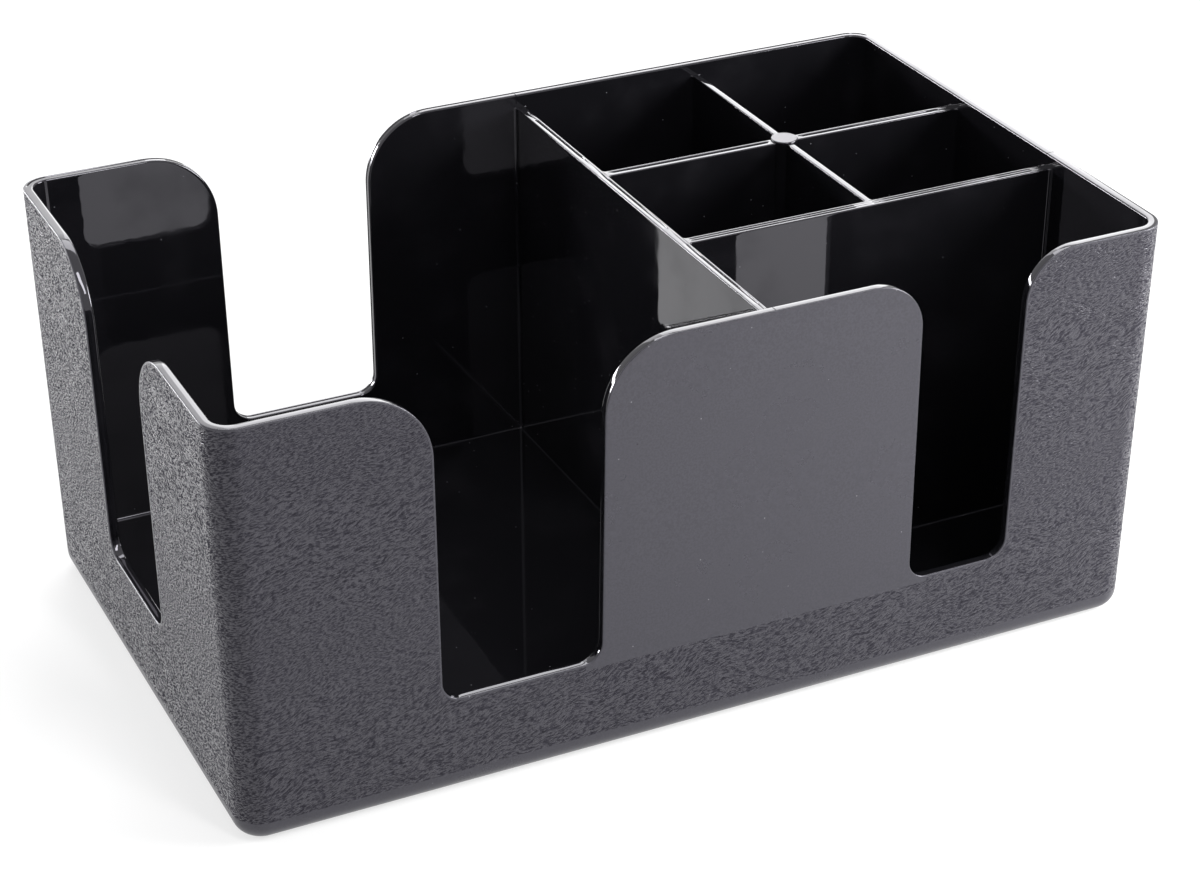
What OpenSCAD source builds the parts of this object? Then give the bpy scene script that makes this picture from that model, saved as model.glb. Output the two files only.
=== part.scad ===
// Bar caddy with six open bays, in black moulded plastic.
// A long napkin bay is on the left, a grid of four cells at the back right,
// and one long bay at the front right.
// It stands on z = 0, with x along its length, y towards its back and z up.

/* [Case] */
// Length over the rim
case_len = 241; // [225:1:300]
// Depth over the rim, from front to back
case_dep = 146; // [135:1:190]
// Height of the rim above the table
case_h = 108; // [92:1:140]
// Thickness of the walls
wall = 2.5; // [1.8:0.1:4]
// Draft of the walls, in degrees
case_draft = 0.75; // [0.25:0.05:1.5]
// Outer radius of the upright corners
corner_r = 7; // [6.5:0.5:14]
// Radius of the outer edge round the bottom
base_edge_r = 5; // [2:0.5:6]

/* [Floor] */
// Height of the floor of the bays above the table
floor_z = 9; // [7:0.5:14]
// Thickness of the floor
floor_t = 3; // [2:0.1:5]
// Width of the flat ring that the case stands on
foot_w = 2.5; // [1.5:0.1:5]
// Corner radius of the recess under the floor
recess_r = 3; // [1:0.5:8]

/* [Bays] */
// Length of the napkin bay at the rim
napkin_bay_len = 131.6; // [110:0.2:145]
// Depth of the front bay at the rim
front_bay_dep = 45; // [32:0.1:52]
// Depth of the back row of cells at the rim
back_row_dep = 48.5; // [36:0.1:56]

/* [Partitions] */
// Thickness of the bay divider at its top
divider_t = 2.4; // [1.6:0.1:4]
// Thickness at their top of the partitions that run along the length
row_t = 3; // [1.6:0.1:4]
// Thickness at their top of the grid's ribs that run from front to back
column_t = 1.8; // [1.5:0.1:4]
// Draft of the partitions on each side, in degrees
web_draft = 0.25; // [0.1:0.05:0.5]
// Radius of the partitions' top edges
web_edge_r = 0.5; // [0.2:0.1:0.7]
// How far the partitions stop below the rim
web_drop = 3.5; // [1:0.5:10]
// Diameter of the post where the ribs of the grid cross
post_d = 7; // [5:0.5:12]
// How far the post stands above the partitions
post_rise = 0.5; // [0:0.1:1]

/* [Thumb cut-outs] */
// Width of the napkin bay's cut-outs, where their shoulders begin
napkin_cut_w = 41.2; // [25:0.2:50]
// Radius of the shoulders of the napkin bay's cut-outs
napkin_shoulder_r = 18; // [8:0.5:20]
// How far the front and back cut-outs lie from the napkin bay's middle, towards the divider
napkin_cut_shift = 2.7; // [0:0.1:6]
// How far the end cut-out lies from the middle of the depth, towards the front
end_cut_shift = 1; // [0:0.5:6]
// Width of the front bay's cut-out, where its shoulders begin
front_cut_w = 28.3; // [18:0.1:34]
// Radius of the shoulders of the front bay's cut-out
front_shoulder_r = 13; // [6:0.5:15]
// Height of the front sills above the table
front_sill_z = 26; // [18:0.5:34]
// Height of the back and end sills above the table
rear_sill_z = 30; // [18:0.5:34]
// Radius of the lower corners of the cut-outs
toe_r = 5; // [2:0.5:7]
// Taper of the cut-outs' sides, in degrees
cut_draft = 0.5; // [0:0.1:1]

/* [Hidden] */

// Overrun of every cut past the face that it opens
over = 1;
// Steps of an upright corner and of the round bottom edge
corner_steps = 8;
edge_steps = 6;
// Facets of a true round
round_fn = 64;

case_black = "#26262a";
bay_black = "#131316";

// Half sizes of the case at a height, outside and inside
function lean(z) = (case_h - z) * tan(case_draft);
function half_len(z) = case_len / 2 - lean(z);
function half_dep(z) = case_dep / 2 - lean(z);
function bay_half_len(z) = half_len(z) - wall;
function bay_half_dep(z) = half_dep(z) - wall;

// Tops of the partitions and half the thickness of one at a height
web_top = case_h - web_drop;
function web_half(thick, z) = thick / 2 + (web_top - z) * tan(web_draft);

// Middle planes of the partitions
divider_x = -bay_half_len(case_h) + napkin_bay_len + divider_t / 2;
cross_y = -bay_half_dep(case_h) + front_bay_dep + row_t / 2;
row_y = bay_half_dep(case_h) - back_row_dep - row_t / 2;
column_x = (divider_x + divider_t / 2 + bay_half_len(case_h)) / 2;

// Middles of the thumb cut-outs
napkin_cut_x = -bay_half_len(case_h) + napkin_bay_len / 2 + napkin_cut_shift;
front_cut_x = column_x;
end_cut_y = -end_cut_shift;

// A level of a drafted box with round corners: height, half length, half depth, corner radius
function level_ring(level) = [
    for (c = [0 : 3], k = [0 : corner_steps])
        let (turn = 90 * (c + k / corner_steps),
             side_x = (c == 0 || c == 3) ? 1 : -1,
             side_y = c < 2 ? 1 : -1)
        [side_x * (level[1] - level[3]) + level[3] * cos(turn),
         side_y * (level[2] - level[3]) + level[3] * sin(turn),
         level[0]]];

// Closed solid through levels given from the bottom up
module loft(levels) {
    ring = 4 * (corner_steps + 1);
    last = len(levels) - 1;
    points = [for (level = levels) each level_ring(level)];
    walls = [for (i = [0 : last - 1], j = [0 : ring - 1])
        let (next = (j + 1) % ring)
        [i * ring + j, (i + 1) * ring + j, (i + 1) * ring + next, i * ring + next]];
    floor_cap = [for (j = [0 : ring - 1]) j];
    roof_cap = [for (j = [ring - 1 : -1 : 0]) last * ring + j];
    polyhedron(points = points, faces = concat(walls, [floor_cap, roof_cap]));
}

// Outer form: a quarter-round bottom edge under plain drafted walls
module case_form() {
    edge = [for (k = [edge_steps : -1 : 0])
        let (turn = 90 * k / edge_steps,
             z = base_edge_r * (1 - sin(turn)),
             inset = base_edge_r * (1 - cos(turn)))
        [z, half_len(z) - inset, half_dep(z) - inset, corner_r - inset]];
    loft(concat(edge, [[case_h, half_len(case_h), half_dep(case_h), corner_r]]));
}

// Space of the bays, open through the rim
module case_cavity() {
    loft([for (z = [floor_z, case_h + over])
        [z, bay_half_len(z), bay_half_dep(z), corner_r - wall]]);
}

// Recess under the floor, inside the ring that the case stands on
module foot_recess() {
    inset = base_edge_r + foot_w;
    loft([for (z = [-over, floor_z - floor_t])
        let (draw = inset + z * tan(case_draft))
        [z, half_len(0) - draw, half_dep(0) - draw, max(recess_r, corner_r - inset)]]);
}

// Outline of a thumb cut-out: tapered sides, round lower corners, flared shoulders
module cut_outline(width, sill, shoulder_r) {
    spring_z = case_h - shoulder_r;
    toe_z = sill + toe_r;
    half = width / 2;
    toe_half = half - (spring_z - toe_z) * tan(cut_draft);
    polygon([[-toe_half, toe_z], [toe_half, toe_z], [half, spring_z],
             [half, case_h + over], [-half, case_h + over], [-half, spring_z]]);
    translate([-toe_half + toe_r, sill])
        square([2 * (toe_half - toe_r), 2 * toe_r]);
    for (side = [-1, 1]) {
        translate([side * (toe_half - toe_r), toe_z])
            circle(r = toe_r, $fn = round_fn);
        difference() {
            translate([side * (half + shoulder_r / 2), spring_z + (shoulder_r + over) / 2])
                square([shoulder_r, shoulder_r + over], center = true);
            translate([side * (half + shoulder_r), spring_z])
                circle(r = shoulder_r, $fn = round_fn);
        }
    }
}

// The cut goes through one wall only, from outside the rim to inside the sill
module wall_cut(width, sill, shoulder_r) {
    reach = wall + lean(sill) + 2 * over;
    rotate([90, 0, 0])
        linear_extrude(height = reach)
            cut_outline(width, sill, shoulder_r);
}

module case() {
    color(case_black)
        difference() {
            case_form();
            case_cavity();
            foot_recess();
            translate([napkin_cut_x, lean(front_sill_z) + over - bay_half_dep(case_h), 0])
                wall_cut(napkin_cut_w, front_sill_z, napkin_shoulder_r);
            translate([front_cut_x, lean(front_sill_z) + over - bay_half_dep(case_h), 0])
                wall_cut(front_cut_w, front_sill_z, front_shoulder_r);
            translate([napkin_cut_x, half_dep(case_h) + over, 0])
                wall_cut(napkin_cut_w, rear_sill_z, napkin_shoulder_r);
            translate([lean(rear_sill_z) + over - bay_half_len(case_h), end_cut_y, 0])
                rotate([0, 0, -90])
                    wall_cut(napkin_cut_w, rear_sill_z, napkin_shoulder_r);
        }
}

// Cross-section of a partition: drafted sides and rounded top edges
module web_section(thick) {
    foot = web_half(thick, floor_z);
    top = thick / 2;
    flat = top - web_edge_r;
    edge_z = web_top - web_edge_r;
    polygon([[-foot, floor_z], [foot, floor_z], [top, edge_z], [flat, web_top],
             [-flat, web_top], [-top, edge_z]]);
    for (side = [-1, 1])
        translate([side * flat, edge_z])
            circle(r = web_edge_r, $fn = round_fn);
}

// A partition along x, from start to end at the floor and at its top
module web(thick, start, end) {
    intersection() {
        rotate([90, 0, 0])
            linear_extrude(height = 4 * web_half(thick, floor_z), center = true)
                polygon([[start[0], floor_z], [end[0], floor_z], [end[1], web_top],
                         [start[1], web_top]]);
        rotate([90, 0, 90])
            linear_extrude(height = 2 * case_len, center = true)
                web_section(thick);
    }
}

// The round of the post, which the ribs of the grid end against
module post_round(extra) {
    translate([column_x, row_y, floor_z - extra])
        cylinder(d = post_d, h = web_top + post_rise - floor_z + 2 * extra, $fn = round_fn);
}

// Faces that a partition can end on, each at the floor and at the partitions' top
back_face = [bay_half_dep(floor_z), bay_half_dep(web_top)];
right_face = [bay_half_len(floor_z), bay_half_len(web_top)];
divider_face = [divider_x + web_half(divider_t, floor_z), divider_x + web_half(divider_t, web_top)];
cross_face = [cross_y + web_half(row_t, floor_z), cross_y + web_half(row_t, web_top)];
row_middle = [row_y, row_y];
column_middle = [column_x, column_x];

module bay_divider() {
    color(bay_black)
        translate([divider_x, 0, 0])
            rotate([0, 0, 90])
                web(divider_t, -back_face, back_face);
}

module cross_partition() {
    color(bay_black)
        translate([0, cross_y, 0])
            web(row_t, divider_face, right_face);
}

module grid_rib_left() {
    color(bay_black)
        difference() {
            translate([0, row_y, 0])
                web(row_t, divider_face, column_middle);
            post_round(over);
        }
}

module grid_rib_right() {
    color(bay_black)
        difference() {
            translate([0, row_y, 0])
                web(row_t, column_middle, right_face);
            post_round(over);
        }
}

module grid_rib_rear() {
    color(bay_black)
        difference() {
            translate([column_x, 0, 0])
                rotate([0, 0, 90])
                    web(column_t, row_middle, back_face);
            post_round(over);
        }
}

module grid_rib_front() {
    color(bay_black)
        difference() {
            translate([column_x, 0, 0])
                rotate([0, 0, 90])
                    web(column_t, cross_face, row_middle);
            post_round(over);
        }
}

module centre_post() {
    color(bay_black)
        post_round(0);
}

case();
bay_divider();
cross_partition();
grid_rib_left();
grid_rib_right();
grid_rib_rear();
grid_rib_front();
centre_post();
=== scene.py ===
import math
import bpy
import numpy as np
from mathutils import Matrix, Vector


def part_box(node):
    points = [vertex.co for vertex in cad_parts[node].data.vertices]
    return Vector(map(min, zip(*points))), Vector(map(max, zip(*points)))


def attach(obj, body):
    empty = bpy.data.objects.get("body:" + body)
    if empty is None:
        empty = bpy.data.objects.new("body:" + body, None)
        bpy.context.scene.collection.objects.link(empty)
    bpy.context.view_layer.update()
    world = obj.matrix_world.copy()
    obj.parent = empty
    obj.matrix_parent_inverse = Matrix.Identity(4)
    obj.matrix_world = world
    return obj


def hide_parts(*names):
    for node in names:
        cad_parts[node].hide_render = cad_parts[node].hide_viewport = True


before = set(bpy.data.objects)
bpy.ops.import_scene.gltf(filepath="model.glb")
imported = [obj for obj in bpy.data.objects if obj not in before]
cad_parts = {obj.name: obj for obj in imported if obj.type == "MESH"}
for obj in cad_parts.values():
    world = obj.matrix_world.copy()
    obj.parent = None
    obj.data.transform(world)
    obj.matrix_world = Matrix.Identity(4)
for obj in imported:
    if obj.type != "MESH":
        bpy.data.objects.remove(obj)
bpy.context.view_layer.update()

mm = 0.001
print("frame loaded,", len(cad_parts), "nodes")


def fromFrame(node, axis, share=0.5):
    # a place on a CAD node's box in mm, to the nearest micron: low * (1 - share) + high * share
    low, high = (corner["xyz".index(axis)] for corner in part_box(node))
    return round((low * (1 - share) + high * share) / mm, 3)


# the moulding's sizes in mm, the main ones read from the frame; a hold is the distance from a
# round to the row beside it, which keeps the round's shading off the flat
caddy = {
    "length": 2 * fromFrame("case", "x", 1),
    "depth": 2 * fromFrame("case", "y", 1),
    "height": fromFrame("case", "z", 1),
    "wall": 2.5,
    "draft": 0.75,           # degrees
    "cornerRadius": 7.0,
    "bottomRadius": 5.0,
    "floorTop": fromFrame("bay_divider", "z", 0),
    "recessDepth": 6.0,
    "recessRadius": 3.0,
    "recessFillet": 0.8,
    "recessHold": 0.6,
    "footWidth": 2.5,
    "footBevel": 0.3,
    "footHold": 0.2,
    "rimRound": 0.5,         # rounding of every open edge, inside
    "rimRoundOutside": 0.28,
    "rimHold": 0.35,
    "rimCrown": 0.05,        # how far the rim falls off from its middle to its edges
    "rimLineDepth": 0.45,    # witness line along the back rim
    "insideFillet": 0.45,
    "insideHold": 0.5,
    "smoothMargin": 0.3,     # plain line between the rim and the grain
    "grainStart": 5.8,       # height where the grain begins
    "panelBottom": 24.4,     # height where the smooth panel ends
    "panelLeft": -34.0,
    "panelRight": 58.2,
}

# thumb cut-outs: side, middle along that side, half width, sill, shoulder and toe radius;
# sides count from the front, 0, to the right, back and left
cutOuts = [
    {"side": 0, "middle": -49.5, "half": 20.6, "sill": 26.0, "shoulder": 18.0, "toe": 5.0},
    {"side": 0, "middle": 67.0, "half": 14.15, "sill": 26.0, "shoulder": 13.0, "toe": 5.0},
    {"side": 2, "middle": 49.5, "half": 20.6, "sill": 30.0, "shoulder": 18.0, "toe": 5.0},
    {"side": 3, "middle": 1.0, "half": 20.6, "sill": 30.0, "shoulder": 18.0, "toe": 5.0},
]
cutTaper = math.tan(math.radians(0.5))   # how fast a cut-out's sides close in downwards

# hairlines across the rim where the mould's blocks meet: each is the plane axis = at, and shows
# where the other axis is beyond its value
rimSeams = [
    {"axis": "x", "at": 13.7, "other": "y", "beyond": 69.8},
    {"axis": "x", "at": 13.7, "other": "y", "beyond": -69.8},
    {"axis": "y", "at": -23.5, "other": "x", "beyond": 117.0},
]


def lean(z):
    # draft: how far a wall stands in from the rim at height z, (height - z) * tan(draft)
    return (caddy["height"] - z) * math.tan(math.radians(caddy["draft"]))


def quarter(steps):
    # a quarter round's pairs 1 - cos and 1 - sin, from 0 and 1 at its start to 1 and 0 at its end
    angle = np.linspace(0, math.pi / 2, steps + 1)
    return 1 - np.cos(angle), 1 - np.sin(angle)


def gridMesh(name, rows):
    # rows[i, j] is a point in mm; columns close on themselves, a quad joins rows i and i + 1,
    # and one flat face closes each end
    count, columns = rows.shape[:2]
    i, j = np.meshgrid(np.arange(count - 1), np.arange(columns), indexing="ij")
    nextJ = (j + 1) % columns
    quads = np.stack([i * columns + j, i * columns + nextJ,
                      (i + 1) * columns + nextJ, (i + 1) * columns + j], axis=-1)
    faces = quads.reshape(-1, 4).tolist()
    faces.append(list(range(columns - 1, -1, -1)))
    faces.append(list(range((count - 1) * columns, count * columns)))
    mesh = bpy.data.meshes.new(name)
    mesh.from_pydata((rows.reshape(-1, 3) * mm).tolist(), [], faces)
    mesh.update()
    return mesh


def turnOutwards(mesh):
    # signed volume, the sum of a . (b x c) / 6 over the triangles; negative means inside out
    mesh.calc_loop_triangles()
    corner = np.empty(len(mesh.loop_triangles) * 3, int)
    mesh.loop_triangles.foreach_get("vertices", corner)
    place = np.empty(len(mesh.vertices) * 3)
    mesh.vertices.foreach_get("co", place)
    tri = place.reshape(-1, 3)[corner.reshape(-1, 3)]
    volume = np.einsum("ij,ij->i", tri[:, 0], np.cross(tri[:, 1], tri[:, 2])).sum() / 6
    if volume < 0:
        mesh.flip_normals()
    return abs(volume)


def addPiece(name, mesh, materials, cadNode):
    # a smooth piece at the origin that takes the place of one CAD node
    volume = turnOutwards(mesh)
    mesh.shade_smooth()
    piece = bpy.data.objects.new(name, mesh)
    bpy.context.scene.collection.objects.link(piece)
    for material in materials:
        mesh.materials.append(material)
    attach(piece, "root")
    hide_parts(cadNode)
    print("made", name, len(mesh.vertices), "points,", round(volume / mm ** 3 / 1000, 2), "ml")


# finishes: colours are linear, scales are per metre, depths in metres, and a pair gives the two
# values of a noise between which one state turns into the other

plastic = {"index": 1.54, "glossTint": (0.93, 0.91, 1.0)}


def feed(tree, socket, value):
    # a node's output is linked, a colour gets alpha 1, and a number is set as it is
    if isinstance(value, bpy.types.NodeSocket):
        tree.links.new(value, socket)
    elif isinstance(value, tuple):
        socket.default_value = (*value, 1)
    else:
        socket.default_value = value


def newMaterial(name, colour, roughness):
    # plain plastic with one colour and one roughness
    material = bpy.data.materials.new(name)
    material.use_nodes = True
    tree = material.node_tree
    shader = tree.nodes["Principled BSDF"]
    for socket, value in (("Base Color", colour), ("Roughness", roughness),
                          ("IOR", plastic["index"]), ("Specular Tint", plastic["glossTint"])):
        feed(tree, shader.inputs[socket], value)
    return material, tree, shader


def addNode(tree, kind, values=None, **settings):
    # a node with its settings, and with its inputs fed from values
    made = tree.nodes.new(kind)
    for key, value in settings.items():
        setattr(made, key, value)
    for key, value in (values or {}).items():
        feed(tree, made.inputs[key], value)
    return made


def maths(tree, operation, *terms):
    # operation(terms); MULTIPLY_ADD is first * second + third
    made = addNode(tree, "ShaderNodeMath", dict(enumerate(terms)), operation=operation)
    return made.outputs[0]


def ramp(tree, value, low, high, toLow=0.0, toHigh=1.0):
    # toLow + (toHigh - toLow) * t * t * (3 - 2 * t), where t = (value - low) / (high - low), kept
    # within 0 and 1
    made = addNode(tree, "ShaderNodeMapRange",
                   {"Value": value, "From Min": low, "From Max": high,
                    "To Min": toLow, "To Max": toHigh}, interpolation_type="SMOOTHSTEP")
    return made.outputs["Result"]


def noise(tree, place, scale, detail=2.0, roughness=0.5, distortion=0.0):
    # smooth noise of the place times scale, plus detail finer layers, each of roughness times the
    # strength of the last; distortion bends it by a noise of its own
    made = addNode(tree, "ShaderNodeTexNoise",
                   {"Vector": place, "Scale": scale, "Detail": detail, "Roughness": roughness,
                    "Distortion": distortion})
    return made.outputs[0]


def bump(tree, shader, height, distance):
    # light falls as if the surface stood out by height * distance metres
    made = addNode(tree, "ShaderNodeBump", {"Height": height, "Distance": distance, "Strength": 1.0})
    feed(tree, shader.inputs["Normal"], made.outputs[0])


def mixColour(tree, factor, low, high):
    # low * (1 - factor) + high * factor; the node's inputs 6 and 7 and its output 2 are colours
    made = addNode(tree, "ShaderNodeMix", {0: factor}, data_type="RGBA")
    feed(tree, made.inputs[6], low)
    feed(tree, made.inputs[7], high)
    return made.outputs[2]


def objectPlace(tree):
    # place on the piece in metres, and its parts by axis
    place = addNode(tree, "ShaderNodeTexCoord").outputs["Object"]
    parts = addNode(tree, "ShaderNodeSeparateXYZ", {0: place})
    return place, dict(zip("xyz", parts.outputs))


def hairline(tree, value, at, halfWidth, core=0.4):
    # 1 up to core * halfWidth from the plane value = at, falling to 0 at halfWidth
    away = maths(tree, "ABSOLUTE", maths(tree, "SUBTRACT", value, at))
    return ramp(tree, away, halfWidth * core, halfWidth, 1.0, 0.0)


def dust(tree, place, spacing, size, share, edge=1.5):
    # round specks: 1 where a cell's middle is nearer than size, falling to 0 at edge * size, in
    # the share of the cells whose colour is highest; spacing is in metres, size in cells
    cells = addNode(tree, "ShaderNodeTexVoronoi", {"Vector": place, "Scale": 1 / spacing},
                    feature="F1")
    near = ramp(tree, cells.outputs["Distance"], size, size * edge, 1.0, 0.0)
    colour = addNode(tree, "ShaderNodeSeparateColor", {0: cells.outputs["Color"]})
    return maths(tree, "MULTIPLY", near, maths(tree, "GREATER_THAN", colour.outputs[0], 1 - share))


polish = {
    "colour": (0.0050, 0.0049, 0.0060),
    "hazeColour": (0.0090, 0.0088, 0.0105),
    "specular": 0.6,
    "smudgedSpecular": 0.42,
    "roughness": 0.012,
    "cloudRoughness": 0.05,
    "speckRoughness": 0.4,   # added on specks of dust
    "fineRoughness": 0.008,  # added by the fine noise
    "clouds": {"scale": 55.0, "detail": 3.0, "roughness": 0.55},
    "fine": {"scale": 900.0, "detail": 2.0},
    "roughClouds": (0.35, 0.75),
    "hazyClouds": (0.45, 0.8),
    "smudgedClouds": (0.45, 0.75),
    "speckColour": (0.10, 0.10, 0.11),
    "dust": {"spacing": 0.0034, "size": 0.035, "share": 0.3},
    "waves": {"scale": 28.0, "detail": 1.0},
    "waveDepth": 0.000014,
    "ripple": {"scale": 260.0, "detail": 1.0},
    "rippleDepth": 0.4,      # share of the waves' depth
    "seamHalfWidth": 0.22,   # mm
    "seamBottom": 105.5,     # mm, the hairlines show above this height
    "seamSpecular": 0.1,     # share of the gloss that is left in a hairline
}


def polishedBlack(name, seams):
    # polished moulding: slow waves plus a finer ripple in the surface, clouds of more roughness,
    # more haze and less gloss, a little dust, and a hairline with little gloss at each seam
    material, tree, shader = newMaterial(name, polish["colour"], polish["roughness"])
    place, axes = objectPlace(tree)
    cloud = noise(tree, place, **polish["clouds"])
    fine = noise(tree, place, **polish["fine"])
    specks = dust(tree, place, **polish["dust"])
    rough = ramp(tree, cloud, *polish["roughClouds"], polish["roughness"], polish["cloudRoughness"])
    rough = maths(tree, "MULTIPLY_ADD", specks, polish["speckRoughness"], rough)
    rough = maths(tree, "MULTIPLY_ADD", fine, polish["fineRoughness"], rough)
    feed(tree, shader.inputs["Roughness"], rough)
    hazy = ramp(tree, cloud, *polish["hazyClouds"])
    haze = mixColour(tree, hazy, polish["colour"], polish["hazeColour"])
    feed(tree, shader.inputs["Base Color"], mixColour(tree, specks, haze, polish["speckColour"]))
    specular = ramp(tree, cloud, *polish["smudgedClouds"],
                    polish["specular"], polish["smudgedSpecular"])
    for seam in seams:
        line = hairline(tree, axes[seam["axis"]], seam["at"] * mm, polish["seamHalfWidth"] * mm)
        sense = "GREATER_THAN" if seam["beyond"] > 0 else "LESS_THAN"
        past = maths(tree, sense, axes[seam["other"]], seam["beyond"] * mm)
        high = maths(tree, "GREATER_THAN", axes["z"], polish["seamBottom"] * mm)
        line = maths(tree, "MULTIPLY", maths(tree, "MULTIPLY", line, past), high)
        left = ramp(tree, line, 0.0, 1.0, 1.0, polish["seamSpecular"])
        specular = maths(tree, "MULTIPLY", specular, left)
    feed(tree, shader.inputs["Specular IOR Level"], specular)
    waves = noise(tree, place, **polish["waves"])
    ripple = noise(tree, place, **polish["ripple"])
    height = maths(tree, "MULTIPLY_ADD", ripple, polish["rippleDepth"], waves)
    bump(tree, shader, height, polish["waveDepth"])
    return material


grain = {
    "ridgeColour": (0.0302, 0.0291, 0.0356),
    "pitColour": (0.0345, 0.0332, 0.0407),
    # painted shade: the creases' colour is darkened to stand in for the shade that falls in them
    "creaseShadeColour": (0.0230, 0.0221, 0.0274),
    "headOnTint": (0.41, 0.40, 0.44),   # of the gloss where it is seen head-on
    "ridgeSpecular": 1.0,
    "pitSpecular": 0.0,
    "ridgeRoughness": 0.14,
    "pitRoughness": 0.42,
    "strokeLength": 1.05,    # mm along the front
    "strokeAcross": 0.76,    # mm along the ends
    "strokeWidth": 0.265,    # mm
    "slope": 0.27,           # how much the strokes rise along the front
    "drift": 6.5,            # mm that the strokes wander up or down, slowly
    "driftScale": 75.0,
    "stroke": {"scale": 1.0, "detail": 1.0, "roughness": 0.35, "distortion": 0.15},
    "thinLength": 0.55,      # the thin strokes' values as shares of the broad ones'
    "thinWidth": 0.8,
    "thinDrift": -0.9,
    "thinDriftScale": 1.3,
    "thinShare": 0.36,       # of the thin strokes in the mix of both
    "ridges": (0.480, 0.527),    # of the mix, from pit to ridge
    "shadedCreases": (0.32, 0.40),     # of the broad strokes, from painted shade in the creases to pit
    "pebbles": {"scale": 2400.0, "detail": 1.0},
    "pebbleDepth": 0.06,     # share of the depth
    "depth": 0.00027,
}


def grainedBlack():
    # leather grain: a noise stretched along the walls, its rows bent up and down by a slower one,
    # mixed with a finer, shorter one; where the mix is high lie smooth glossy ridges, where it is
    # low matt pits that scatter more, and the deepest of them are creases, coloured darker as
    # painted shade; the gloss is tinted down head-on, and stays full at a grazing angle
    material, tree, shader = newMaterial("grainedBlack", grain["pitColour"], grain["pitRoughness"])
    feed(tree, shader.inputs["Specular Tint"], grain["headOnTint"])
    place, axes = objectPlace(tree)

    def strokes(length, width, drift, driftScale):
        # noise of (x / length, y / across, (z + drift * slow noise - slope * x) / width); the
        # arguments are shares of the values in grain
        bend = noise(tree, place, driftScale * grain["driftScale"], detail=1.0)
        lifted = maths(tree, "MULTIPLY_ADD", bend, drift * grain["drift"] * mm, axes["z"])
        lifted = maths(tree, "MULTIPLY_ADD", axes["x"], -grain["slope"], lifted)
        sizes = (length * grain["strokeLength"], length * grain["strokeAcross"],
                 width * grain["strokeWidth"])
        scaled = [maths(tree, "MULTIPLY", value, 1 / (size * mm))
                  for value, size in zip((axes["x"], axes["y"], lifted), sizes)]
        stretched = addNode(tree, "ShaderNodeCombineXYZ", dict(enumerate(scaled)))
        return noise(tree, stretched.outputs[0], **grain["stroke"])

    broad = strokes(1.0, 1.0, 1.0, 1.0)
    thin = strokes(grain["thinLength"], grain["thinWidth"],
                   grain["thinDrift"], grain["thinDriftScale"])
    mixed = maths(tree, "MULTIPLY_ADD", thin, grain["thinShare"],
                  maths(tree, "MULTIPLY", broad, 1 - grain["thinShare"]))
    pebble = noise(tree, place, **grain["pebbles"])
    height = maths(tree, "MULTIPLY_ADD", pebble, grain["pebbleDepth"], mixed)
    bump(tree, shader, height, grain["depth"])
    ridge = ramp(tree, mixed, *grain["ridges"])
    # painted shade: the lowest parts of the broad strokes take the darker crease colour
    creaseShade = ramp(tree, broad, *grain["shadedCreases"])
    raised = mixColour(tree, ridge, grain["pitColour"], grain["ridgeColour"])
    feed(tree, shader.inputs["Base Color"], mixColour(tree, creaseShade, grain["creaseShadeColour"], raised))
    rough = ramp(tree, ridge, 0.0, 1.0, grain["pitRoughness"], grain["ridgeRoughness"])
    feed(tree, shader.inputs["Roughness"], rough)
    specular = ramp(tree, ridge, 0.0, 1.0, grain["pitSpecular"], grain["ridgeSpecular"])
    feed(tree, shader.inputs["Specular IOR Level"], specular)
    return material


satin = {
    "colour": (0.0308, 0.0299, 0.0370),
    "darkColour": (0.0222, 0.0215, 0.0267),
    "roughness": 0.30,
    "rubbedRoughness": 0.22,
    "fineRoughness": 0.04,   # added by the fine noise
    "rubs": {"scale": 42.0, "detail": 4.0, "roughness": 0.6},
    "rubbed": (0.42, 0.72),
    "fine": {"scale": 2600.0, "detail": 2.0, "roughness": 0.6},
    "mottle": {"scale": 1900.0, "detail": 3.0, "roughness": 0.7},
    "mottled": (0.38, 0.62),
    "speckColour": (0.16, 0.16, 0.17),
    "dust": {"spacing": 0.0042, "size": 0.03, "share": 0.5},
    "depth": 0.000006,
}


def satinBlack():
    # the smooth place for print, the plain band under the grain, and the post's top: fine
    # spark-eroded haze, mottled from dark to light and slightly rubbed in patches, with dust
    material, tree, shader = newMaterial("satinBlack", satin["colour"], satin["roughness"])
    place = objectPlace(tree)[0]
    rubs = noise(tree, place, **satin["rubs"])
    fine = noise(tree, place, **satin["fine"])
    specks = dust(tree, place, **satin["dust"])
    rough = ramp(tree, rubs, *satin["rubbed"], satin["roughness"], satin["rubbedRoughness"])
    rough = maths(tree, "MULTIPLY_ADD", fine, satin["fineRoughness"], rough)
    feed(tree, shader.inputs["Roughness"], rough)
    mottle = ramp(tree, noise(tree, place, **satin["mottle"]), *satin["mottled"])
    haze = mixColour(tree, mottle, satin["darkColour"], satin["colour"])
    feed(tree, shader.inputs["Base Color"], mixColour(tree, specks, haze, satin["speckColour"]))
    bump(tree, shader, fine, satin["depth"])
    return material


polishedCase = polishedBlack("polishedCase", rimSeams)
polishedWeb = polishedBlack("polishedWeb", [])
grained = grainedBlack()
satinFinish = satinBlack()
print("finishes made")


# the case: one closed skin, from the recess, round the outside, over the rim, to the floor

inPolish, inGrain, inSatin = 0, 1, 2                       # places in the case's list of materials
flatLength = caddy["length"] / 2 - caddy["cornerRadius"]   # end of the straight front
flatDepth = caddy["depth"] / 2 - caddy["cornerRadius"]     # end of the straight end wall
freeLength = 98.0    # nearer the middle than this, a column stays upright while the wall leans
freeDepth = 46.0

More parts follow.
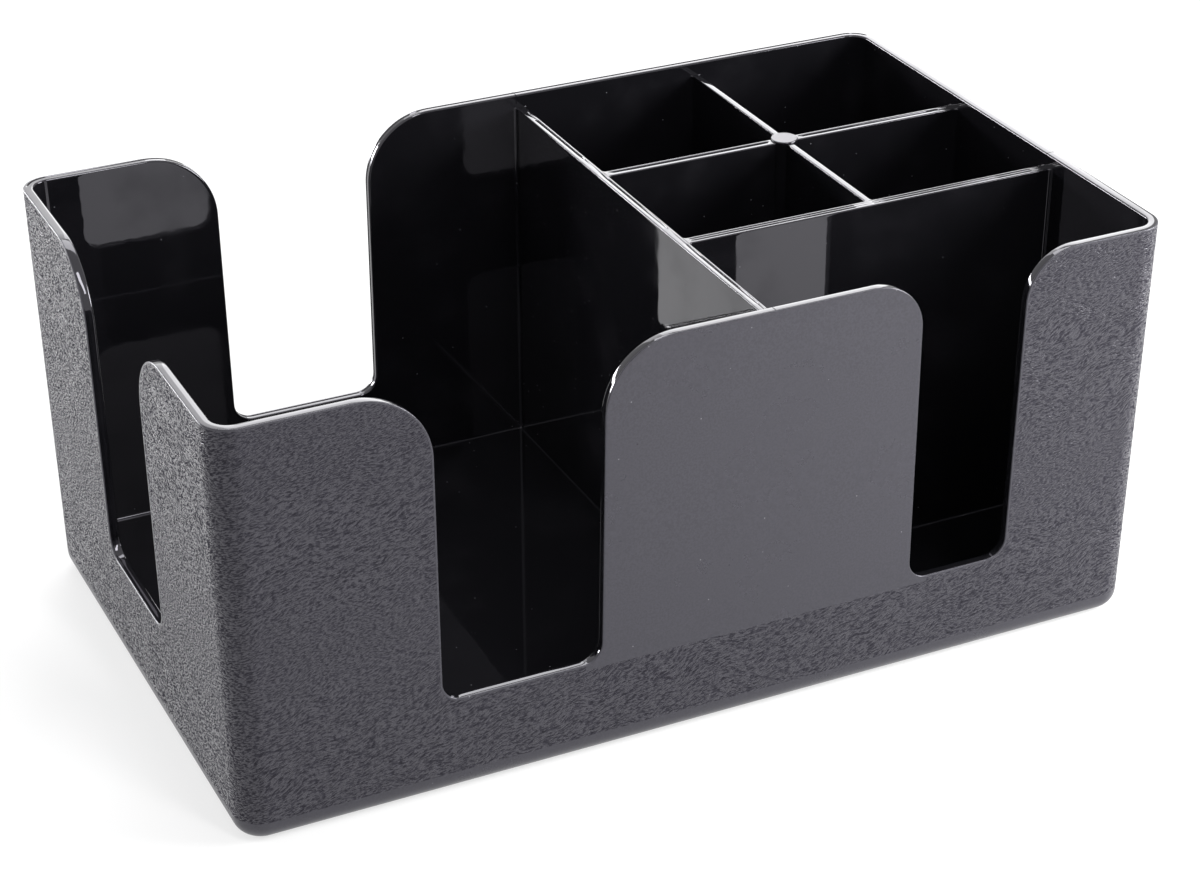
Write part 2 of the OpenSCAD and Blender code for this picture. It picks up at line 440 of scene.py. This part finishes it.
# faces in each stretch of the skin, and in mm the distances between its columns
divide = {
    "corner": 14,
    "shoulder": 22,
    "cutSide": 9,
    "toe": 12,
    "halfSill": 4,
    "recessFillet": 4,
    "bottomRound": 10,
    "outside": 6,
    "rimRound": 5,
    "inside": 5,
    "insideFillet": 5,
    "plainRim": 6.0,         # mm
    "cornerHold": 0.5,       # mm
    "shoulderHold": 0.3,     # mm
}

# rows over the flat of the rim: how far across it, and the share of the witness line's depth
rimFlat = ((0.04, 0.0), (0.11, 0.0), (0.18, 0.0), (0.20, 0.04), (0.23, 1.0), (0.53, 1.0),
           (0.56, 0.04), (0.58, 0.0), (0.67, 0.0), (0.77, 0.0), (0.87, 0.0), (0.96, 0.0))


def straight(start, end, steps, inward):
    # points start * (1 - t) + end * t without the last, and the direction into the plastic
    t = np.linspace(0, 1, steps, endpoint=False)[:, None]
    points = np.array(start) * (1 - t) + np.array(end) * t
    return np.hstack([points, np.tile(inward, (steps, 1))])


def arc(middle, radius, start, end, steps, sense):
    # points middle + radius * (cos, sin) without the last, and the direction sense * (cos, sin)
    # into the plastic: +1 away from the middle, -1 towards it
    angle = np.radians(np.linspace(start, end, steps, endpoint=False))
    spoke = np.stack([np.cos(angle), np.sin(angle)], axis=1)
    return np.hstack([np.array(middle) + radius * spoke, sense * spoke])


def cutOutline(cut):
    # down the left shoulder, side and toe, along the sill, and up the other half, mirrored
    half, shoulder, sill, toe = cut["half"], cut["shoulder"], cut["sill"], cut["toe"]
    spring, toeTop = caddy["height"] - shoulder, sill + toe
    toeHalf = half - (spring - toeTop) * cutTaper
    down = np.vstack([
        arc((-half - shoulder, spring), shoulder, 90, 0, divide["shoulder"], -1),
        straight((-half, spring), (-toeHalf, toeTop), divide["cutSide"], (-1.0, 0.0)),
        arc((-toeHalf + toe, toeTop), toe, 180, 270, divide["toe"], 1),
        straight((-toeHalf + toe, sill), (0.0, sill), divide["halfSill"], (0.0, -1.0)),
    ])
    bottom = np.array([[0.0, sill, 0.0, -1.0]])
    up = down[::-1] * np.array([-1.0, 1.0, -1.0, 1.0])
    whole = np.vstack([down, bottom, up])
    whole[:, 0] += cut["middle"]
    return whole


def sideOutline(side):
    # rim and cut-outs of one side: distance along it, height, and the direction into the plastic
    top, down = caddy["height"], (0.0, -1.0)

    def plainRim(start, end, hold):
        # level rim from start to end, with one column at the distance hold before the end
        count = max(2, int((end - start) / divide["plainRim"]))
        return [straight((start, top), (end - hold, top), count, down),
                straight((end - hold, top), (end, top), 1, down)]

    reach = flatLength if side in (0, 2) else flatDepth
    at = -reach + divide["cornerHold"]
    parts = [straight((-reach, top), (at, top), 1, down)]
    cuts = [cut for cut in cutOuts if cut["side"] == side]
    for cut in sorted(cuts, key=lambda cut: cut["middle"]):
        away = cut["half"] + cut["shoulder"]
        parts += plainRim(at, cut["middle"] - away, divide["shoulderHold"])
        parts.append(cutOutline(cut))
        at = cut["middle"] + away + divide["shoulderHold"]
    parts += plainRim(at, reach, divide["cornerHold"])
    return np.vstack(parts)


def caseColumns():
    # every column of the skin, side and corner by turns: base point, the share of the lean that it
    # takes along x and y, outward normal, height, and the direction into the plastic; on a side
    # the share along the wall grows from 0 at the free length to 1 at the corner, and a corner's
    # normal is cos * one side's + sin * the next side's
    tangents = np.array([(1, 0), (0, 1), (-1, 0), (0, -1)], float)
    normals = np.array([(0, -1), (1, 0), (0, 1), (-1, 0)], float)
    sizes = [(flatLength, freeLength, flatDepth), (flatDepth, freeDepth, flatLength)]
    bends = divide["corner"]
    turn = np.linspace(0, 1, bends, endpoint=False)[:, None] * math.pi / 2
    columns = []
    for side, (tangent, normal) in enumerate(zip(tangents, normals)):
        outline = sideOutline(side)
        along, height, inAlong, inUp = (outline[:, k:k + 1] for k in range(4))
        reach, free, across = sizes[side % 2]
        slide = np.clip((np.abs(along) - free) / (reach - free), 0, 1)
        columns.append((along * tangent + across * normal, slide * np.abs(tangent) + np.abs(normal),
                        np.tile(normal, (len(outline), 1)), height,
                        np.hstack([inAlong * tangent, inUp])))
        corner = (tangent + normal) * (flatLength, flatDepth)
        columns.append((np.tile(corner, (bends, 1)), np.ones((bends, 2)),
                        np.cos(turn) * normal + np.sin(turn) * tangent,
                        np.full((bends, 1), caddy["height"]), np.tile((0.0, 0.0, -1.0), (bends, 1))))
    base, share, normal, height, inward = (np.concatenate(kind) for kind in zip(*columns))
    return base, share, normal, height[:, 0], inward


base, share, normal, outlineZ, inward = caseColumns()
columnCount = len(base)
outerEdge = (caddy["rimRoundOutside"] + caddy["smoothMargin"]) * inward   # where the grain ends
innerEdge = (caddy["rimRound"] + caddy["rimHold"]) * inward


def ring(z, inset, radius, shift, gap=0.0):
    # base + shift + sign * share * (half size - lean - inset - radius - flat) + (radius - gap) *
    # normal, at height z; shift moves a column along its wall, gap is a further inset that keeps
    # the corner's middle
    z = np.broadcast_to(np.asarray(z, float), (columnCount,))
    half = np.column_stack([size / 2 - lean(z) for size in (caddy["length"], caddy["depth"])])
    slide = half - inset - radius - np.array([flatLength, flatDepth])
    xy = base + shift + np.sign(base) * share * slide + (radius - gap) * normal
    return np.column_stack([xy, z])


def wallRing(offset, deep):
    # a ring at distance offset into the plastic from the rim's outline, deep under the outer face
    offset = np.broadcast_to(np.asarray(offset, float), (columnCount,))
    shift = offset[:, None] * inward
    return ring(outlineZ + shift[:, 2], 0.0, caddy["cornerRadius"], shift[:, :2], deep)


def undersideRows():
    # from the recess's roof, round its fillet and down its wall, to the foot ring's outer edge
    corner, edge, shift = caddy["cornerRadius"], caddy["bottomRadius"], outerEdge[:, :2]
    roof, radius, fillet = caddy["recessDepth"], caddy["recessRadius"], caddy["recessFillet"]
    inset, bevel, hold = edge + caddy["footWidth"], caddy["footBevel"], caddy["footHold"]
    yield ring(roof, inset, radius, shift, fillet + caddy["recessHold"]), inSatin
    for near, far in zip(*quarter(divide["recessFillet"])):
        yield ring(roof - fillet * near, inset, radius, shift, fillet * far), inSatin
    yield ring(bevel, inset, radius, shift), inSatin
    yield ring(0.0, inset, radius, shift, -bevel), inSatin
    yield ring(0.0, edge + hold, corner - edge + hold / 2, shift), inSatin


def outsideRows():
    # round the bottom edge and up the wall, in even steps above the panel's lower end
    corner, edge, shift = caddy["cornerRadius"], caddy["bottomRadius"], outerEdge[:, :2]
    for near, far in zip(*quarter(divide["bottomRound"])):
        yield ring(edge * near, 0.0, corner, shift, edge * far), inSatin
    yield ring(caddy["grainStart"], 0.0, corner, shift), inSatin
    low, high = caddy["panelBottom"], outlineZ + outerEdge[:, 2]
    for k in range(divide["outside"] + 1):
        level = low + (high - low) * k / divide["outside"]
        yield ring(level, 0.0, corner, shift), inGrain


def rimRows():
    # a quarter round, the flat that falls off by crown * (2 * deep - 1) ** 2 from its middle and
    # carries the witness line along the back, and a quarter round inside
    wall, rim, rimOut = caddy["wall"], caddy["rimRound"], caddy["rimRoundOutside"]
    back = normal[:, 1]   # 1 on the back wall, 0 on the end walls, -1 on the front
    crown = caddy["rimCrown"] * np.clip(1 - 2 * back, 0, 1)   # the back rim is flat
    sunk = caddy["rimLineDepth"] * (back > 0.5)
    for near, far in zip(*quarter(divide["rimRound"])):
        yield wallRing(crown + (rimOut - crown) * far, rimOut * near), inSatin
    for deep, lowered in rimFlat:
        fall = crown * (2 * deep - 1) ** 2 + sunk * lowered
        yield wallRing(fall, rimOut + (wall - rimOut - rim) * deep), inPolish
    for near, far in zip(*quarter(divide["rimRound"])):
        yield wallRing(crown + (rim - crown) * near, wall - rim * far), inPolish


def insideRows():
    # down the inside in even steps, round the fillet, and onto the floor
    wall, corner, shift = caddy["wall"], caddy["cornerRadius"], innerEdge[:, :2]
    fillet, hold = caddy["insideFillet"], caddy["insideHold"]
    high, low = outlineZ + innerEdge[:, 2], caddy["floorTop"] + fillet
    for k in range(divide["inside"] + 1):
        level = high + (low + hold - high) * k / divide["inside"]
        yield ring(level, 0.0, corner, shift, wall), inPolish
    for near, far in zip(*quarter(divide["insideFillet"])):
        yield ring(low - fillet * (1 - far), 0.0, corner, shift, wall + fillet * near), inPolish
    yield ring(caddy["floorTop"], 0.0, corner, shift, wall + fillet + hold), inPolish


def caseFinish(rows, rowFinish):
    # the face between rows i and i + 1 takes row i + 1's finish, and grained faces of the front
    # that lie within the panel turn satin; the recess's roof and the floor come last
    finish = np.repeat(rowFinish[1:, None], columnCount, axis=1)
    middle = (rows[:-1] + rows[1:]) / 2
    middle = (middle + np.roll(middle, -1, axis=1)) / 2
    x, y, z = np.moveaxis(middle, -1, 0)
    withinPanel = (x > caddy["panelLeft"]) & (x < caddy["panelRight"]) & (z > caddy["panelBottom"])
    finish[(finish == inGrain) & withinPanel & (y < 0)] = inSatin
    return np.concatenate([finish.ravel(), [inSatin, inPolish]])


caseRows = [*undersideRows(), *outsideRows(), *rimRows(), *insideRows()]
rows, rowFinish = (np.array(kind) for kind in zip(*caseRows))
caseMesh = gridMesh("case_skin", rows)
caseMesh.polygons.foreach_set("material_index", caseFinish(rows, rowFinish).astype(np.int32))
addPiece("case_skin", caseMesh, [polishedCase, grained, satinFinish], "case")


# partitions: a drafted web with a rounded top, flared where it meets its neighbours

web = {
    "dividerThickness": 2.4,
    "rowThickness": 3.0,     # partitions along the length
    "columnThickness": 1.8,  # ribs from front to back
    "draft": math.tan(math.radians(0.25)),
    "top": fromFrame("bay_divider", "z", 1),
    "topRound": 0.3,
    "topHold": 0.4,
    "fillet": 0.7,
    "sideHold": 0.5,
    "buried": 0.25,          # how far an end or the foot runs into its neighbour
    "stretch": 1.0,          # from the fillet to the first of the even stations
    "stations": 9,
    "rounds": 5,             # faces in a quarter round
    "sideRows": 6,
    "lineWidth": 0.45,       # witness lines of the mould's inserts along the tops
    "lineDepth": 0.5,
    "lineFade": 0.5,
    "lineSide": ((0.5, 0.0), (0.46, 0.04), (0.36, 1.0)),   # shares of its width and of its depth
}

# places of the partitions' middles, and the post
layout = {
    "dividerX": fromFrame("bay_divider", "x"),
    "crossY": fromFrame("cross_partition", "y"),
    "rowY": fromFrame("grid_rib_left", "y"),
    "columnX": fromFrame("grid_rib_rear", "x"),
    "postTop": fromFrame("centre_post", "z", 1),
}
layout["postRadius"] = fromFrame("centre_post", "x", 1) - layout["columnX"]


def webHalf(thick, z):
    # half thickness at height z: thick / 2 + (top - z) * draft
    return thick / 2 + (web["top"] - z) * web["draft"]


def wallFace(size, sense):
    # inner face of an outer wall, by height z: sense * (size / 2 - wall - lean)
    return lambda z: sense * (size / 2 - caddy["wall"] - lean(z))


def webFace(at, thick):
    # the face of a partition on its plus side, by height z: at + half thickness
    return lambda z: at + webHalf(thick, z)


def postFace(at, sense):
    # the post's side, the same at every height: at + sense * radius
    return lambda z: at + sense * layout["postRadius"] + 0 * z


def webSection(thick, lines):
    # half thickness and height, up one side, over the rounded top, down the other; each witness
    # line adds a steep-sided channel to the top, sink says how deep each of its points goes, and
    # hand is the side that a point is on
    fillet, r, top, floor = web["fillet"], web["topRound"], web["top"], caddy["floorTop"]
    near, far = quarter(web["rounds"])
    lowZ = floor + fillet * near
    lowT = webHalf(thick, lowZ) + fillet * far
    sideZ = np.linspace(floor + fillet + web["sideHold"], top - r - web["topHold"], web["sideRows"])
    half = np.concatenate([lowT[:1], lowT, webHalf(thick, sideZ), thick / 2 - r * near])
    z = np.concatenate([[floor - web["buried"]], lowZ, sideZ, top - r * far])
    side, lowered = np.array(web["lineSide"]).T
    line = np.concatenate([side, -side[::-1]]) * web["lineWidth"]
    tops = np.concatenate([line + at for at in lines] + [[]])
    sink = np.tile(np.concatenate([lowered, lowered[::-1]]), len(lines))
    return (np.concatenate([half, tops, -half[::-1]]),
            np.concatenate([z, np.full(len(tops), top), z[::-1]]),
            np.concatenate([0 * z, sink, 0 * z]) * web["lineDepth"],
            np.concatenate([np.ones(len(half)), np.zeros(len(tops)), -np.ones(len(half))]))


def webRows(part):
    # place along the web, place across it and height; its ends follow its neighbours' faces at
    # each height, a quarter round widens it there, even stations lie between, and the witness
    # lines show on the stretches given, fading over lineFade at their ends
    half, z, sink, hand = webSection(part["thick"], part.get("lines", ()))
    fillet, fade, hold = web["fillet"], web["lineFade"], web["sideHold"]
    near, far = quarter(web["rounds"])
    start, end = (face(z)[None, :] for face in part["faces"])
    away = np.concatenate([[-web["buried"]], fillet * near, [fillet + hold]])[:, None]
    flare = np.concatenate([[fillet], fillet * far, [0.0]])
    startFlare, endFlare = part["flares"]
    shown = part.get("shown", ())
    breaks = [at for low, high in shown for at in (low - fade, low, high, high + fade)]
    first, last = start.max() + fillet + web["stretch"], end.min() - fillet - web["stretch"]
    even = np.linspace(first, last, web["stations"])
    inner = np.unique(np.round(np.concatenate([even, breaks]), 3))
    inner = inner[(inner >= first) & (inner <= last)]
    stations = np.vstack([start + away, np.tile(inner[:, None], len(z)), end - away[::-1]])
    widen = np.concatenate([flare * startFlare, 0 * inner, (flare * endFlare)[::-1]])[:, None]
    depth = np.zeros_like(stations)
    for low, high in shown:
        past = np.minimum(stations - low, high - stations) / fade + 1
        depth = np.maximum(depth, np.clip(past, 0, 1))
    return stations, part["at"] + half + hand * widen, z - sink * depth


dividerThick, rowThick = web["dividerThickness"], web["rowThickness"]
columnThick = web["columnThickness"]
print("partitions at", layout)
frontWall, backWall = wallFace(caddy["depth"], -1), wallFace(caddy["depth"], 1)
rightWall = wallFace(caddy["length"], 1)
dividerFace = webFace(layout["dividerX"], dividerThick)
crossFace = webFace(layout["crossY"], rowThick)
postLeft, postRight = (postFace(layout["columnX"], sense) for sense in (-1, 1))
postFront, postRear = (postFace(layout["rowY"], sense) for sense in (-1, 1))

# each partition: the axis that it runs along, thickness at the top, place on the other axis, the
# faces that it runs between, whether it flares at each, the places of its witness lines across
# the top, and the stretches on which they show
partitions = {
    "bay_divider": {
        "along": "y", "thick": dividerThick, "at": layout["dividerX"],
        "faces": (frontWall, backWall), "flares": (1, 1),
        "lines": (0.3,), "shown": ((-61.4, -26.0), (-15.0, 21.0), (31.4, 60.0))},
    "cross_partition": {
        "along": "x", "thick": rowThick, "at": layout["crossY"],
        "faces": (dividerFace, rightWall), "flares": (1, 1),
        "lines": (0.55, -0.45), "shown": ((18.0, 62.0), (69.5, 113.0))},
    "grid_rib_left": {
        "along": "x", "thick": rowThick, "at": layout["rowY"],
        "faces": (dividerFace, postLeft), "flares": (1, 0),
        "lines": (0.45,), "shown": ((18.0, 62.0),)},
    "grid_rib_right": {
        "along": "x", "thick": rowThick, "at": layout["rowY"],
        "faces": (postRight, rightWall), "flares": (0, 1),
        "lines": (0.3,), "shown": ((72.0, 113.0),)},
    "grid_rib_rear": {
        "along": "y", "thick": columnThick, "at": layout["columnX"],
        "faces": (postRear, backWall), "flares": (0, 1)},
    "grid_rib_front": {
        "along": "y", "thick": columnThick, "at": layout["columnX"],
        "faces": (crossFace, postFront), "flares": (1, 0)},
}

for partName, part in partitions.items():
    along, across, z = webRows(part)
    rows = np.stack([along, across, z] if part["along"] == "x" else [across, along, z], axis=-1)
    webMesh = gridMesh(partName + "_web", rows)
    addPiece(partName + "_web", webMesh, [polishedWeb], partName)


# the post where the ribs cross: a turned profile

post = {
    "fillet": 0.8,
    "buried": 0.25,
    "topRound": 0.3,
    "sideStart": 1.4,        # above the floor
    "sideEnd": 0.7,          # below the top
    "sideRows": 6,
    "flatRadii": (2.95, 1.2),   # of the two rows on the flat top
    "flatBand": 0.02,        # faces nearer than this to the top are satin
    "columns": 64,
    "rounds": 5,             # faces in a quarter round
}


def postRows():
    # radius and height of the profile, turned: (x, y) = middle + radius * (cos, sin)
    r, top, floor = layout["postRadius"], layout["postTop"], caddy["floorTop"]
    fillet, small = post["fillet"], post["topRound"]
    near, far = quarter(post["rounds"])
    sides = np.linspace(floor + post["sideStart"], top - post["sideEnd"], post["sideRows"])
    radius = np.concatenate([[r + fillet], r + fillet * far, np.full(len(sides), r), r - small * near,
                             post["flatRadii"]])
    z = np.concatenate([[floor - post["buried"]], floor + fillet * near, sides, top - small * far,
                        [top, top]])
    angle = np.linspace(0, 2 * math.pi, post["columns"], endpoint=False)
    x = layout["columnX"] + radius[:, None] * np.cos(angle)
    y = layout["rowY"] + radius[:, None] * np.sin(angle)
    return np.stack([x, y, np.broadcast_to(z[:, None], x.shape)], axis=-1)


postMesh = gridMesh("centre_post_turned", postRows())
centres = np.empty(len(postMesh.polygons) * 3)
postMesh.polygons.foreach_get("center", centres)
onTop = centres[2::3] > (layout["postTop"] - post["flatBand"]) * mm
postMesh.polygons.foreach_set("material_index", onTop.astype(np.int32))
addPiece("centre_post_turned", postMesh, [polishedWeb, satinFinish], "centre_post")


# floor, light and camera

studio = {
    "floorColour": (0.925, 0.925, 0.925),
    "floorRoughness": 0.6,
    "floorSpecular": 0.2,
    "floorReach": 6.0,       # metres from the middle
    "surround": 0.6,         # light from all round; the camera and the gloss see white there
    "floorGlow": 0.65,       # share of plain white that the camera and the gloss see in the floor
    "lamps": {               # metres and watts
        "back": {"place": (0.915, 1.60, 0.95), "aim": (0.915, 0.0, 0.95),
                 "size": (1.07, 1.1), "watts": 17.5},
        "back_side": {"place": (0.14, 1.60, 0.95), "aim": (0.14, 0.0, 0.95),
                      "size": (0.48, 1.1), "watts": 3.6},
        "overhead": {"place": (0.345, 0.74, 1.31), "aim": (0.0, 0.0, 0.05),
                     "size": (0.9, 0.6), "watts": 9.0},
        "front_strip": {"place": (0.061, -0.488, 0.740), "aim": (-0.138, 0.07, 0.153),
                        "size": (0.11, 0.53), "watts": 2.2},
        "front_right": {"place": (0.45, -0.26, 0.25), "aim": (0.0, 0.0, 0.05),
                        "size": (0.3, 0.25), "watts": 5.5},
        "back_left": {"place": (-0.85, 1.2, 0.20), "aim": (0.0, 0.0, 0.05),
                      "size": (0.9, 0.30), "watts": 30.0},
    },
}


def whiteFor(tree):
    # 1 on rays from the camera, a gloss or a clear piece, and 0 on the light's own rays
    path = addNode(tree, "ShaderNodeLightPath").outputs
    either = maths(tree, "MAXIMUM", path["Is Camera Ray"], path["Is Glossy Ray"])
    return maths(tree, "MAXIMUM", either, path["Is Transmission Ray"])


def addFloor():
    # a flat square, its surface mixed with floorGlow of white for the camera and the gloss
    reach = studio["floorReach"]
    corners = [(x * reach, y * reach, 0) for x, y in ((-1, -1), (1, -1), (1, 1), (-1, 1))]
    mesh = bpy.data.meshes.new("studio_floor")
    mesh.from_pydata(corners, [], [(0, 1, 2, 3)])
    studioFloor = bpy.data.objects.new("studio_floor", mesh)
    bpy.context.scene.collection.objects.link(studioFloor)
    material, tree, shader = newMaterial("studioFloor", studio["floorColour"], studio["floorRoughness"])
    feed(tree, shader.inputs["Specular IOR Level"], studio["floorSpecular"])
    glow = addNode(tree, "ShaderNodeEmission", {"Strength": 1.0})
    seen = maths(tree, "MULTIPLY", whiteFor(tree), studio["floorGlow"])
    blend = addNode(tree, "ShaderNodeMixShader", {0: seen, 1: shader.outputs[0], 2: glow.outputs[0]})
    feed(tree, tree.nodes["Material Output"].inputs[0], blend.outputs[0])
    mesh.materials.append(material)


def addSurround():
    # a white world: strength 1 for the camera and the gloss, and less as light
    world = bpy.data.worlds.new("studioWorld")
    bpy.context.scene.world = world
    world.use_nodes = True
    tree = world.node_tree
    background = tree.nodes["Background"]
    feed(tree, background.inputs["Color"], (1, 1, 1))
    strength = ramp(tree, whiteFor(tree), 0.0, 1.0, studio["surround"], 1.0)
    feed(tree, background.inputs["Strength"], strength)


def addSoftbox(name, settings):
    # a rectangular lamp that looks from its place to its aim
    lamp = bpy.data.lights.new(name, "AREA")
    lamp.shape = "RECTANGLE"
    lamp.size, lamp.size_y = settings["size"]
    lamp.energy = settings["watts"]
    softbox = bpy.data.objects.new(name, lamp)
    softbox.location = settings["place"]
    aim = Vector(settings["aim"]) - Vector(settings["place"])
    softbox.rotation_euler = aim.to_track_quat("-Z", "Y").to_euler()
    bpy.context.scene.collection.objects.link(softbox)


# the fitted camera: turns in radians, place in mm, focal length and picture width in pixels,
# sensor width in mm, and the nearest distance that it shows in metres
view = {"yaw": -0.4444, "pitch": 0.4999, "roll": -0.0032,
        "place": (-274.1, -584.8, 395.5), "focal": 2900.4, "width": 1200,
        "sensor": 36.0, "clip": 0.01}


def addCamera():
    # it looks along (-sin yaw cos pitch, cos yaw cos pitch, -sin pitch), its right and up turned
    # about that by roll; lens = focal / width * sensor
    lens = bpy.data.cameras.new("photo_camera")
    lens.sensor_width = view["sensor"]
    lens.lens = view["focal"] / view["width"] * view["sensor"]
    lens.clip_start = view["clip"]
    yaw, pitch, roll = view["yaw"], view["pitch"], view["roll"]
    level = math.cos(pitch)
    forward = Vector((-math.sin(yaw) * level, math.cos(yaw) * level, -math.sin(pitch)))
    right = Vector((math.cos(yaw), math.sin(yaw), 0))
    up = right.cross(forward)
    across = right * math.cos(roll) + up * math.sin(roll)
    over = up * math.cos(roll) - right * math.sin(roll)
    turned = Matrix((across, over, -forward)).transposed().to_4x4()
    turned.translation = Vector(view["place"]) * mm
    camera = bpy.data.objects.new("photo_camera", lens)
    camera.matrix_world = turned
    bpy.context.scene.collection.objects.link(camera)
    bpy.context.scene.camera = camera


addFloor()
addSurround()
for lampName, lampSettings in studio["lamps"].items():
    addSoftbox(lampName, lampSettings)
addCamera()
bpy.context.scene.view_settings.view_transform = "Standard"
print("studio made")
